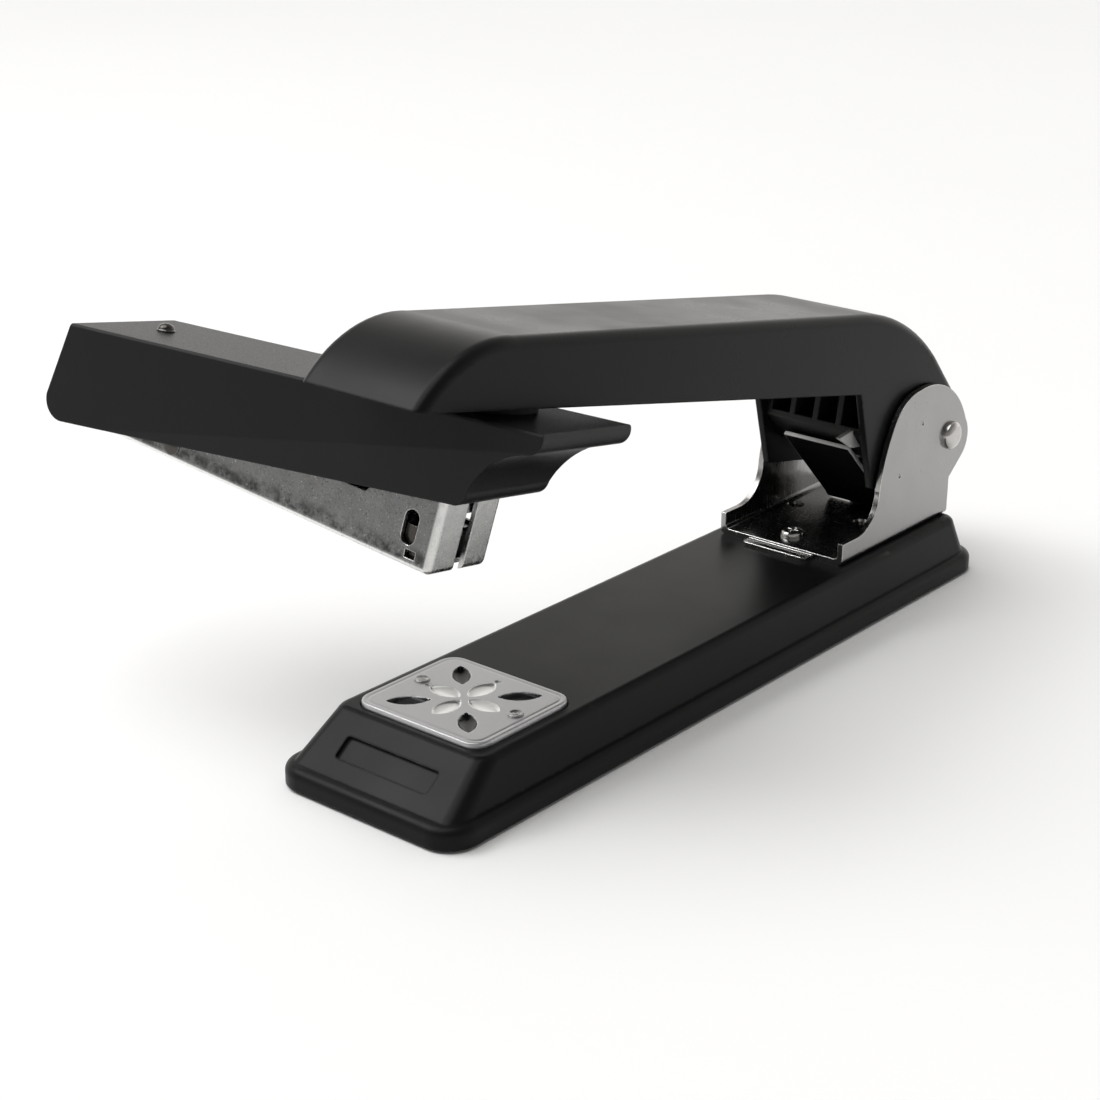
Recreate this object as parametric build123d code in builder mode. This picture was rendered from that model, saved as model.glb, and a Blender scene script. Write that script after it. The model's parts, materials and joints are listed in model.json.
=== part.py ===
"""Long reach stapler with a swivelling head.

Row frame, in millimetres: origin at the centre of the base's underside, +X forward to the
anvil, +Z up. The arm, the head and the magazine each have a frame of their own, set at the
resting pose, and their pieces are drawn in those frames.
"""

import os
from math import radians, tan

from build123d import *

os.makedirs("parts", exist_ok=True)

# ---------------------------------------------------------------- driving dimensions
# Base
BASE_LENGTH, BASE_WIDTH = 171.0, 42.5
RIM_LIFT = 0.6  # the rim stands this far off the table, on the rubber sole
RIM_TOP = 4.5
BASE_TOP = 12.35
BASE_WALL = 1.6
BLOCK_FOOT = (-83.0, 83.2, 19.4)  # rear x, front x, half width where the block meets the rim
BLOCK_TOP = (-80.8, 73.0, 17.6)
SOLE_THICKNESS, PLATE_THICKNESS = 1.6, 1.2
POCKET_LENGTH, POCKET_WIDTH = 165.6, 37.2

# Anvil
ANVIL_X = 58.6
ANVIL_LENGTH, ANVIL_WIDTH, ANVIL_THICKNESS = 25.8, 29.1, 1.5
ANVIL_SINK = 0.5
ANVIL_RIVETS = (-1.0, 11.0)  # offset along X, distance each side

# Bracket and pivot
SHEET = 1.2
BRACKET_HALF = 15.1
FLOOR_TOP = BASE_TOP + SHEET
BRACKET_FRONT, BRACKET_REAR = -39.1, -80.4
PIVOT = Vector(-79.8, 0, 30.3)
PIN_RADIUS = 2.0
STOP_TAB_X = -73.5
SCREW_PLACE, SCREW_RADIUS = (-45.2, -1.2), 1.5
RIVET_PLACES, RIVET_RADIUS, RIVET_BORE = ((-61.0, 5.7), (-61.0, -10.9)), 1.2, 0.8
EAR_DIMPLES = ((-68.0, 35.8), (-59.8, 26.3))  # x and z of the locating marks on each ear

# Arm
ARM_TILT = 12.0
ARM_HALF, ARM_WALL = 13.4, 1.4
ARM_UNDERSIDE = 9.2  # above the pivot axis, square to the arm
ARM_FRONT = 168.4
SWIVEL_REACH = 138.4

# Head
HEAD_YAW = 97.5
COVER_HALF = 14.2
COVER_GAP = 1.9  # room for the swivel washer between the arm and the cover
COVER_WALL = 1.8
CAVITY_HALF = 11.0
STUD_RADIUS = 3.0
HINGE_X, HINGE_Z = -76.0, -12.5
HINGE_RADIUS = 1.5
BLADE_X, BLADE_THICKNESS, BLADE_HALF = -0.16, 0.6, 6.3
BLADE_TIP = -20.8
STRIP_TOP = -5.6

# Magazine
MAGAZINE_OPEN = 7.75
MAG_HALF, MAG_WALL = 8.8, 0.9
GUIDE_HALF, GUIDE_SHEET, GUIDE_TOP, GUIDE_REAR = 7.65, 0.9, -1.0, 24.0  # strips beside the staples
MAG_BOTTOM, MAG_WALL_TOP, NOSE_TOP = -8.1, 1.5, 6.1
NOSE_FRONT = 77.7
RAIL_FRONT, RAIL_REAR = 75.1, 6.0
RAIL_HALF, RAIL_TOP, RAIL_SHEET = 5.7, -2.1, 0.8
STAPLE_WIRE = 0.5
STAPLE_HALF = 6.45
STRIP_LENGTH = 26.0
ROD_RADIUS, ROD_HEIGHT = 0.9, -5.0

RUNNING = 0.05  # radial clearance of a running fit
SNUG = 0.02  # radial clearance of a fixed fit

# ---------------------------------------------------------------- frames
base_frame = Location((0, 0, 0))
pivot_frame = Location(PIVOT)
arm_frame = Location(PIVOT, (0, -ARM_TILT, 0))
head_frame = arm_frame * Location((SWIVEL_REACH, 0, ARM_UNDERSIDE), (0, 0, HEAD_YAW))
magazine_frame = head_frame * Location((HINGE_X, 0, HINGE_Z), (0, MAGAZINE_OPEN, 0))


def side(frame, y=0.0):
    """Lengthwise upright plane at y: sketch x forward, sketch y up, normal towards -Y."""
    return Plane(frame * Plane.XZ.offset(-y).location)


def flat(frame, z=0.0):
    """Level plane at height z."""
    return Plane(frame * Plane.XY.offset(z).location)


def cross(frame, x=0.0):
    """Crosswise upright plane at x: sketch x towards +Y, sketch y up, normal forward."""
    return Plane(frame * Plane.YZ.offset(x).location)


def save(builder, name):
    """Label a finished piece and write its STEP file."""
    builder.part.label = name
    export_step(builder.part, f"parts/{name}.step")


def ring(plane, outer, inner, height):
    """A washer or tube standing on a plane, added to the part being built."""
    with BuildSketch(plane) as annulus:
        Circle(outer)
        Circle(inner, mode=Mode.SUBTRACT)
    extrude(annulus.sketch, amount=height)


def disc(plane, radius, height, edge=0.0):
    """A round head standing on a plane, with its far edge rounded off."""
    with BuildSketch(plane) as foot:
        Circle(radius)
    extrude(foot.sketch, amount=height)
    if edge:
        far = plane.offset(height)
        rim = [e for e in edges() if abs(far.to_local_coords(e.center()).Z) < 1e-4]
        fillet([e for e in rim if abs(e.radius - radius) < 1e-4], edge)


def bore(plane, radius, depth, both=False):
    """A round hole cut from a plane along its normal."""
    with BuildSketch(plane) as mouth:
        Circle(radius)
    extrude(mouth.sketch, amount=depth, both=both, mode=Mode.SUBTRACT)


def local(frame, shape):
    """Centre of an edge or face in a frame's own coordinates."""
    return Plane(frame).to_local_coords(shape.center())


# ---------------------------------------------------------------- base
def drafted_block(foot_z, top_z, inset, mode):
    """Block with sloping ends and sides between two levels of the base."""
    levels = []
    for z, (rear, front, half) in ((foot_z, BLOCK_FOOT), (top_z, BLOCK_TOP)):
        with BuildSketch(Plane.XY.offset(z)) as level:
            with Locations(((rear + front) / 2, 0)):
                Rectangle(front - rear - 2 * inset, 2 * (half - inset))
        levels.append(level.sketch.face())
    loft(levels, mode=mode)


window_normal = Vector(BASE_TOP - RIM_TOP, 0, BLOCK_FOOT[1] - BLOCK_TOP[1]).normalized()
window_centre = Vector((BLOCK_FOOT[1] + BLOCK_TOP[1]) / 2 + 0.4, 0, (BASE_TOP + RIM_TOP) / 2 - 0.3)
front_slope = Plane(origin=window_centre, x_dir=(0, 1, 0), z_dir=window_normal)

with BuildPart() as base_shell:
    drafted_block(RIM_TOP, BASE_TOP, 0, Mode.ADD)
    fillet([e for e in edges() if e.bounding_box().size.Z > BASE_TOP - RIM_TOP - 1], 3.2)
    fillet(faces().sort_by(Axis.Z)[-1].edges(), 1.6)
    with BuildSketch(Plane.XY.offset(RIM_LIFT)):
        RectangleRounded(BASE_LENGTH, BASE_WIDTH, 6.0)
    extrude(amount=RIM_TOP - RIM_LIFT)
    ledge = [f for f in faces().filter_by(Axis.Z) if abs(f.center().Z - RIM_TOP) < 1e-3][0]
    fillet(ledge.outer_wire().edges(), 1.7)
    drafted_block(RIM_TOP, BASE_TOP - BASE_WALL, BASE_WALL, Mode.SUBTRACT)
    with BuildSketch(Plane.XY.offset(RIM_TOP)):
        Rectangle(2 * 81.0, 2 * 17.4)
    extrude(amount=-RIM_TOP, mode=Mode.SUBTRACT)
    with BuildSketch(Plane.XY):
        RectangleRounded(POCKET_LENGTH, POCKET_WIDTH, 4.0)
    extrude(amount=SOLE_THICKNESS + PLATE_THICKNESS, mode=Mode.SUBTRACT)
    with BuildSketch(front_slope):
        RectangleRounded(21.4, 4.5, 0.7)
    extrude(amount=-0.7, mode=Mode.SUBTRACT)
    with BuildSketch(Plane.XY.offset(BASE_TOP)):
        with Locations((ANVIL_X, 0)):
            RectangleRounded(ANVIL_LENGTH + 0.5, ANVIL_WIDTH + 0.5, 3.7)
    extrude(amount=-ANVIL_SINK, mode=Mode.SUBTRACT)
    with BuildSketch(Plane.XY.offset(BASE_TOP)):
        with Locations(SCREW_PLACE):
            Circle(SCREW_RADIUS + SNUG)
        with Locations(*RIVET_PLACES):
            Circle(RIVET_RADIUS + SNUG)
        with Locations(*[(ANVIL_X + ANVIL_RIVETS[0], s * ANVIL_RIVETS[1]) for s in (-1, 1)]):
            Circle(0.9 + SNUG)
    extrude(amount=-2 * BASE_WALL, mode=Mode.SUBTRACT)
save(base_shell, "base_shell")

with BuildPart() as base_plate:
    with BuildSketch(Plane.XY.offset(SOLE_THICKNESS)):
        RectangleRounded(POCKET_LENGTH - 0.4, POCKET_WIDTH - 0.4, 3.8)
    extrude(amount=PLATE_THICKNESS)
save(base_plate, "base_plate")

with BuildPart() as rubber_sole:
    with BuildSketch(Plane.XY):
        RectangleRounded(POCKET_LENGTH - 1.0, POCKET_WIDTH - 1.0, 3.5)
    extrude(amount=SOLE_THICKNESS)
    with BuildSketch(Plane.XY):
        with GridLocations(14.0, 12.0, 11, 2):
            RectangleRounded(9.0, 6.0, 1.0)
    extrude(amount=0.5, mode=Mode.SUBTRACT)
save(rubber_sole, "rubber_sole")

# ---------------------------------------------------------------- anvil
ANVIL_TOP = BASE_TOP - ANVIL_SINK + ANVIL_THICKNESS


def lens(length, width):
    """Leaf-shaped outline with its length along x, added to the sketch being built."""
    with BuildLine() as leaf:
        ThreePointArc((-length / 2, 0), (0, width / 2), (length / 2, 0))
        ThreePointArc((length / 2, 0), (0, -width / 2), (-length / 2, 0))
    make_face(leaf.edges())


with BuildSketch() as petal:
    lens(6.7, 3.4)
with BuildSketch() as cavity:
    lens(7.6, 3.0)

anvil_centre = Location((ANVIL_X, 0, ANVIL_TOP))
with BuildPart() as anvil_plate:
    with BuildSketch(flat(anvil_centre)):
        RectangleRounded(ANVIL_LENGTH, ANVIL_WIDTH, 3.5)
    extrude(amount=-ANVIL_THICKNESS)
    fillet(faces().sort_by(Axis.Z)[-1].edges(), 0.4)
    with BuildSketch(flat(anvil_centre)):
        with PolarLocations(4.7, 4):
            add(petal.sketch)
    extrude(amount=-0.5, mode=Mode.SUBTRACT)
    with BuildSketch(flat(anvil_centre)):
        with PolarLocations(9.8, 4, start_angle=45):
            add(cavity.sketch)
    extrude(amount=-0.9, mode=Mode.SUBTRACT)
    with BuildSketch(flat(anvil_centre)):
        with Locations(*[(ANVIL_RIVETS[0], s * ANVIL_RIVETS[1]) for s in (-1, 1)]):
            Circle(0.9 + SNUG)
    extrude(amount=-ANVIL_THICKNESS, mode=Mode.SUBTRACT)
save(anvil_plate, "anvil_plate")

with BuildPart() as anvil_rivets:
    for s in (-1, 1):
        head = flat(Location((ANVIL_X + ANVIL_RIVETS[0], s * ANVIL_RIVETS[1], ANVIL_TOP)))
        disc(head, 1.5, 0.45, 0.3)
        disc(head, 0.9, -(ANVIL_THICKNESS + BASE_WALL))
save(anvil_rivets, "anvil_rivets")

# ---------------------------------------------------------------- pivot bracket
with BuildPart() as pivot_bracket:
    with BuildSketch(side(base_frame)):
        with BuildLine():
            Polyline((BRACKET_REAR, 20.6), (BRACKET_REAR, BASE_TOP), (BRACKET_FRONT, BASE_TOP),
                     (BRACKET_FRONT, 17.0), (-44.5, 17.0))
            ThreePointArc((-44.5, 17.0), (-50.0, 19.4), (-52.2, 24.8))
            ThreePointArc((-52.2, 24.8), (-53.6, 30.8), (-57.0, 38.2))
            ThreePointArc((-57.0, 38.2), (-60.5, 41.7), (-66.0, 43.3))
            ThreePointArc((-66.0, 43.3), (-78.0, 41.2), (-86.0, 32.4))
            ThreePointArc((-86.0, 32.4), (-87.3, 28.6), (-85.4, 24.6))
            Line((-85.4, 24.6), (BRACKET_REAR, 20.6))
        make_face()
    extrude(amount=BRACKET_HALF, both=True)
    inner = BRACKET_HALF - SHEET
    with BuildSketch(cross(base_frame, -100.0)):
        with BuildLine():
            Polyline((-inner, 60), (-inner, FLOOR_TOP + 1.0))
            RadiusArc((-inner, FLOOR_TOP + 1.0), (1.0 - inner, FLOOR_TOP), -1.0)
            Line((1.0 - inner, FLOOR_TOP), (inner - 1.0, FLOOR_TOP))
            RadiusArc((inner - 1.0, FLOOR_TOP), (inner, FLOOR_TOP + 1.0), -1.0)
            Polyline((inner, FLOOR_TOP + 1.0), (inner, 60), (-inner, 60))
        make_face()
    extrude(amount=100.0, mode=Mode.SUBTRACT)
    low = [e for e in edges().filter_by(Axis.X) if abs(e.center().Z - BASE_TOP) < 1e-3]
    fillet([e for e in low if abs(abs(e.center().Y) - BRACKET_HALF) < 1e-3], 1.1)
    with BuildSketch(Plane.XY.offset(BASE_TOP)):
        with Locations((BRACKET_FRONT + 0.4, 0)):
            RectangleRounded(4.6, 15.6, 1.0)
    extrude(amount=0.7)
    with BuildSketch(cross(base_frame, STOP_TAB_X)):
        with Locations((0, 17.2)):
            RectangleRounded(10.0, 7.6, 1.0)
    extrude(amount=-SHEET)
    bore(flat(Location((*SCREW_PLACE, FLOOR_TOP))), SCREW_RADIUS + SNUG, -SHEET)
    with Locations(*[(*place, BASE_TOP + SHEET / 2) for place in RIVET_PLACES]):
        Cone(RIVET_RADIUS + SNUG, RIVET_RADIUS + SNUG + SHEET / 2, SHEET, mode=Mode.SUBTRACT)
    with Locations(*[(x, s * (BRACKET_HALF + 0.3), z) for x, z in EAR_DIMPLES for s in (-1, 1)]):
        Sphere(0.65, mode=Mode.SUBTRACT)
    bore(side(pivot_frame), PIN_RADIUS + SNUG, 30, both=True)
save(pivot_bracket, "pivot_bracket")

with BuildPart() as bracket_screw:
    screw_top = flat(Location((*SCREW_PLACE, FLOOR_TOP)))
    disc(screw_top, 2.4, 1.1, 0.7)
    disc(screw_top, SCREW_RADIUS, -(SHEET + BASE_WALL + 2.6))
    with BuildSketch(screw_top.offset(1.1)):
        Rectangle(2.6, 0.6)
        Rectangle(0.6, 2.6)
    extrude(amount=-0.6, mode=Mode.SUBTRACT)
save(bracket_screw, "bracket_screw")

with BuildPart() as bracket_nut:
    with BuildSketch(Plane.XY.offset(BASE_TOP - BASE_WALL)):
        with Locations(SCREW_PLACE):
            RegularPolygon(3.2, 6)
            Circle(SCREW_RADIUS + SNUG, mode=Mode.SUBTRACT)
    extrude(amount=-2.4)
save(bracket_nut, "bracket_nut")

RIVET_FLARE = 0.7
with BuildPart() as bracket_rivets:
    for place in RIVET_PLACES:
        rivet_axis = Location((*place, BASE_TOP))
        with Locations(rivet_axis * Location((0, 0, RIVET_FLARE / 2))):
            Cone(RIVET_RADIUS, RIVET_RADIUS + RIVET_FLARE / 2, RIVET_FLARE)
            Cone(RIVET_BORE, RIVET_BORE + RIVET_FLARE / 2, RIVET_FLARE, mode=Mode.SUBTRACT)
        ring(flat(rivet_axis), RIVET_RADIUS, RIVET_BORE, -BASE_WALL)
        ring(flat(rivet_axis, -BASE_WALL), 2.0, RIVET_BORE, -0.5)
save(bracket_rivets, "bracket_rivets")

with BuildPart() as pivot_pin:
    with BuildSketch(side(pivot_frame)):
        Circle(PIN_RADIUS)
    extrude(amount=BRACKET_HALF, both=True)
    for s in (-1, 1):
        end = Plane(origin=PIVOT + Vector(0, s * BRACKET_HALF, 0), x_dir=(1, 0, 0), z_dir=(0, s, 0))
        disc(end, 3.1, 1.7, 1.3)
save(pivot_pin, "pivot_pin")

with BuildPart() as pivot_washers:
    for s in (-1, 1):
        face = Plane(origin=PIVOT + Vector(0, s * (inner - 0.42), 0), x_dir=(1, 0, 0), z_dir=(0, s, 0))
        ring(face, 5.0, PIN_RADIUS + RUNNING, 0.36)
save(pivot_washers, "pivot_washers")

# ---------------------------------------------------------------- arm
LEG_BOTTOM = -10.7
LEG_FRONT = (36.9, 26.6)  # along the arm, at the underside and at the bottom of the leg

with BuildPart() as arm_shell:
    with BuildSketch(side(arm_frame)) as arm_outline:
        with BuildLine():
            Polyline((ARM_FRONT, ARM_UNDERSIDE), (LEG_FRONT[0], ARM_UNDERSIDE),
                     (LEG_FRONT[1], LEG_BOTTOM), (1.0, LEG_BOTTOM))
            ThreePointArc((1.0, LEG_BOTTOM), (-4.7, -7.4), (-6.8, -1.2))
            ThreePointArc((-6.8, -1.2), (-6.2, 4.2), (-3.6, 8.4))
            Line((-3.6, 8.4), (8.0, 16.8))
            ThreePointArc((8.0, 16.8), (20.0, 22.6), (38.0, 25.2))
            Line((38.0, 25.2), (146.0, 21.1))
            ThreePointArc((146.0, 21.1), (160.4, 17.2), (ARM_FRONT, ARM_UNDERSIDE))
        make_face()
    extrude(amount=ARM_HALF, both=True)
    crown = [e for e in edges() if abs(abs(e.center().Y) - ARM_HALF) < 1e-3]
    above_pivot = [e for e in crown if local(arm_frame, e).Z > 3]
    fillet([e for e in above_pivot if abs(local(arm_frame, e).Z - ARM_UNDERSIDE) > 1e-3], 2.0)
    with BuildSketch(side(arm_frame)):
        add(arm_outline.sketch_local)
        offset(amount=-ARM_WALL, kind=Kind.INTERSECTION, mode=Mode.REPLACE)
        with Locations((80.3, -7.0)):
            Rectangle(171.4, 36.0)
    extrude(amount=ARM_HALF - ARM_WALL, both=True, mode=Mode.SUBTRACT)
    bore(side(arm_frame), PIN_RADIUS + RUNNING, 30, both=True)
save(arm_shell, "arm_shell")

BLOCK_HALF = ARM_HALF - ARM_WALL - 0.1
SLEEVE_RADIUS = 3.2
RIB_PITCH, RIB_THICKNESS, RIB_DEPTH = 5.65, 1.2, 7.0
with BuildPart() as hinge_block:
    with BuildSketch(side(arm_frame)):
        with BuildLine():
            Polyline((31.0, 17.0), (31.0, 0.2), (24.0, -5.0), (13.0, -5.6), (5.0, -8.6), (-1.0, -8.6))
            ThreePointArc((-1.0, -8.6), (-4.3, -4.6), (-5.0, 0.0))
            Polyline((-5.0, 0.0), (-4.4, 4.5), (0.0, 9.0), (9.0, 15.5), (31.0, 17.0))
        make_face()
    extrude(amount=BLOCK_HALF, both=True)
    with BuildSketch(side(base_frame)):
        Polygon((-79.6, 14.7), (-74.85, 14.7), (-74.85, 24.0), (-79.6, 24.0), align=None)
    extrude(amount=4.6, both=True)
    with BuildSketch(cross(arm_frame, 31.0)):
        with Locations((0, 8.4)):
            with GridLocations(RIB_PITCH, 1, 4, 1):
                Rectangle(RIB_PITCH - RIB_THICKNESS, 14.0)
    extrude(amount=-RIB_DEPTH, mode=Mode.SUBTRACT)
    bore(side(arm_frame), SLEEVE_RADIUS + SNUG, 30, both=True)
save(hinge_block, "hinge_block")

with BuildPart() as pivot_sleeve:
    ring(side(arm_frame, BLOCK_HALF), SLEEVE_RADIUS, PIN_RADIUS + RUNNING, 2 * BLOCK_HALF)
save(pivot_sleeve, "pivot_sleeve")

LEAF_HALF, LEAF_SHEET = 8.0, 0.9
with BuildPart() as return_leaf:
    with BuildSketch(side(base_frame)):
        with BuildLine() as leaf_path:
            Line((-50.9, 33.2), (-68.3, 15.8))
            ThreePointArc((-68.3, 15.8), (-70.0, 14.25), (-72.0, 15.2))
        trace(line_width=LEAF_SHEET)
    extrude(amount=LEAF_HALF, both=True)
save(return_leaf, "return_leaf")

with BuildPart() as leaf_clip:
    with BuildSketch(side(arm_frame, LEAF_HALF + 0.6)):
        Polygon((31.02, 1.0), (36.0, -0.6), (30.0, -2.8), (27.42, -2.5), (31.02, 0.2), align=None)
    extrude(amount=-1.0)
save(leaf_clip, "leaf_clip")

# ---------------------------------------------------------------- swivel
SEAT_FRONT, SEAT_REAR = 164.0, 112.0
SEAT_SHEET = 1.5
with BuildPart() as swivel_seat:
    with BuildSketch(flat(arm_frame, ARM_UNDERSIDE)):
        with Locations(((SEAT_FRONT + SEAT_REAR) / 2, 0)):
            RectangleRounded(SEAT_FRONT - SEAT_REAR, 2 * BLOCK_HALF, 2.0)
    extrude(amount=SEAT_SHEET)
    with BuildSketch(cross(arm_frame, SEAT_REAR + 2)):
        for s in (-1, 1):
            with Locations((s * (BLOCK_HALF - 0.6), ARM_UNDERSIDE + 2.6)):
                Rectangle(1.2, 5.2)
    extrude(amount=SEAT_FRONT - SEAT_REAR - 9)
    bore(flat(head_frame), STUD_RADIUS + SNUG, SEAT_SHEET)
save(swivel_seat, "swivel_seat")

WASHER_STACK = COVER_GAP + COVER_WALL
with BuildPart() as swivel_stud:
    disc(flat(head_frame, -5.3), STUD_RADIUS, 5.3 + SEAT_SHEET)
    disc(flat(head_frame, SEAT_SHEET), 5.5, 1.4, 0.9)
save(swivel_stud, "swivel_stud")

with BuildPart() as swivel_washer:
    ring(flat(head_frame, 0.0), 10.0, STUD_RADIUS + SNUG, -(COVER_GAP - 0.12))
save(swivel_washer, "swivel_washer")

with BuildPart() as spring_washer:
    ring(flat(head_frame, -WASHER_STACK - 0.08), 4.2, STUD_RADIUS + SNUG, -0.4)
save(spring_washer, "spring_washer")

with BuildPart() as swivel_retainer:
    ring(flat(head_frame, -WASHER_STACK - 0.5), 4.2, STUD_RADIUS + SNUG, -1.1)
save(swivel_retainer, "swivel_retainer")

# ---------------------------------------------------------------- head cover
CREASE_START, CREASE_SLOPE, LOWER_DRAFT = (-76.0, -20.5), 9.0, 10.0
crease_frame = head_frame * Location((CREASE_START[0], 0, CREASE_START[1]), (0, -CREASE_SLOPE, 0))

with BuildPart() as head_cover:
    with BuildSketch(side(head_frame)):
        with BuildLine():
            Line((-79.6, -COVER_GAP), (21.5, -COVER_GAP))
            ThreePointArc((21.5, -COVER_GAP), (21.5, -4.0), (19.4, -5.7))
            ThreePointArc((19.4, -5.7), (12.3, -8.8), (8.0, -14.6))
            ThreePointArc((8.0, -14.6), (7.2, -16.3), (5.0, -17.0))
            Line((5.0, -17.0), (-79.5, -20.0))
            ThreePointArc((-79.5, -20.0), (-82.8, -18.8), (-83.9, -15.5))
            Line((-83.9, -15.5), (-79.6, -COVER_GAP))
        make_face()
    extrude(amount=COVER_HALF, both=True)
    low_y = COVER_HALF - 20 * tan(radians(LOWER_DRAFT))
    for s in (-1, 1):
        with BuildSketch(cross(crease_frame)):
            Polygon((s * COVER_HALF, 0), (s * 20, 0), (s * 20, -20), (s * low_y, -20), align=None)
        extrude(amount=110, mode=Mode.SUBTRACT)
    top_edges = [e for e in edges() if abs(local(head_frame, e).Z + COVER_GAP) < 1e-3]
    fillet([e for e in top_edges if e.length > 40], 0.6)
    with BuildSketch(side(head_frame)):
        Polygon((-77.9, -COVER_GAP - COVER_WALL), (4.4, -COVER_GAP - COVER_WALL), (4.4, -26.0),
                (-82.0, -26.0), (-82.0, -16.5), align=None)
    extrude(amount=CAVITY_HALF, both=True, mode=Mode.SUBTRACT)
    with BuildSketch(flat(head_frame, -WASHER_STACK)):
        with Locations((-40.0, 0)):
            RectangleRounded(12.0, 12.0, 2.0)
    extrude(amount=-(-STRIP_TOP - WASHER_STACK))
    bore(flat(head_frame, -COVER_GAP), STUD_RADIUS + RUNNING, -COVER_WALL)
    bore(side(head_frame * Location((HINGE_X, 0, HINGE_Z))), HINGE_RADIUS + SNUG, CAVITY_HALF + 1.2, both=True)
    bore(flat(head_frame * Location((-40.0, 0, 0)), STRIP_TOP), 1.2 + SNUG, 2.4)
    bore(flat(head_frame * Location((-69.5, 0, 0)), -COVER_GAP), 0.9 + SNUG, -COVER_WALL)
save(head_cover, "head_cover")

with BuildPart() as detent_knob:
    knob_seat = flat(head_frame * Location((-69.5, 0, 0)), -COVER_GAP)
    disc(knob_seat, 1.7, 1.5, 1.3)
    disc(knob_seat, 0.9, -(COVER_WALL + 0.8))
save(detent_knob, "detent_knob")

with BuildPart() as driver_blade:
    with BuildSketch(side(head_frame)):
        blade_back, blade_front = BLADE_X - BLADE_THICKNESS / 2, BLADE_X + BLADE_THICKNESS / 2
        Polygon((-46.0, STRIP_TOP), (blade_front, STRIP_TOP), (blade_front, BLADE_TIP), (blade_back, BLADE_TIP),
                (blade_back, STRIP_TOP - 0.8), (-46.0, STRIP_TOP - 0.8), align=None)
    extrude(amount=BLADE_HALF, both=True)
    bend = [e for e in edges() if (local(head_frame, e) - Vector(blade_front, 0, STRIP_TOP)).length < 0.1]
    fillet(bend, 0.7)
    bore(flat(head_frame * Location((-40.0, 0, 0)), STRIP_TOP), 1.2 + SNUG, -1.0)
save(driver_blade, "driver_blade")

SPRING_SHEET = 0.5
with BuildPart() as magazine_spring:
    with BuildSketch(side(head_frame)):
        with BuildLine():
            spring_level = STRIP_TOP - 0.8 - SPRING_SHEET / 2 - 0.02
            Line((-45.0, spring_level), (-35.0, spring_level))
            ThreePointArc((-35.0, spring_level), (-27.5, -8.9), (-22.5, -13.6))
            ThreePointArc((-22.5, -13.6), (-19.8, -17.0), (-16.0, -18.75))
        trace(line_width=SPRING_SHEET)
    extrude(amount=MAG_HALF - 0.2, both=True)
    bore(flat(head_frame * Location((-40.0, 0, 0)), STRIP_TOP), 1.2 + SNUG, -3.0)
save(magazine_spring, "magazine_spring")

with BuildPart() as driver_rivet:
    rivet_foot = flat(head_frame * Location((-40.0, 0, 0)), STRIP_TOP - 0.8 - SPRING_SHEET - 0.04)
    disc(rivet_foot, 1.2, 0.8 + SPRING_SHEET + 1.9)
    disc(rivet_foot, 2.4, -0.8)
save(driver_rivet, "driver_rivet")

hinge_frame = head_frame * Location((HINGE_X, 0, HINGE_Z))
with BuildPart() as hinge_pin:
    with BuildSketch(side(hinge_frame)):
        Circle(HINGE_RADIUS)
    extrude(amount=CAVITY_HALF + 1.0, both=True)
save(hinge_pin, "hinge_pin")

with BuildPart() as hinge_spacers:
    for y in (CAVITY_HALF - 0.1, -MAG_HALF - 0.15):
        ring(side(hinge_frame, y), 2.6, HINGE_RADIUS + SNUG, CAVITY_HALF - MAG_HALF - 0.25)
save(hinge_spacers, "hinge_spacers")

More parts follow.
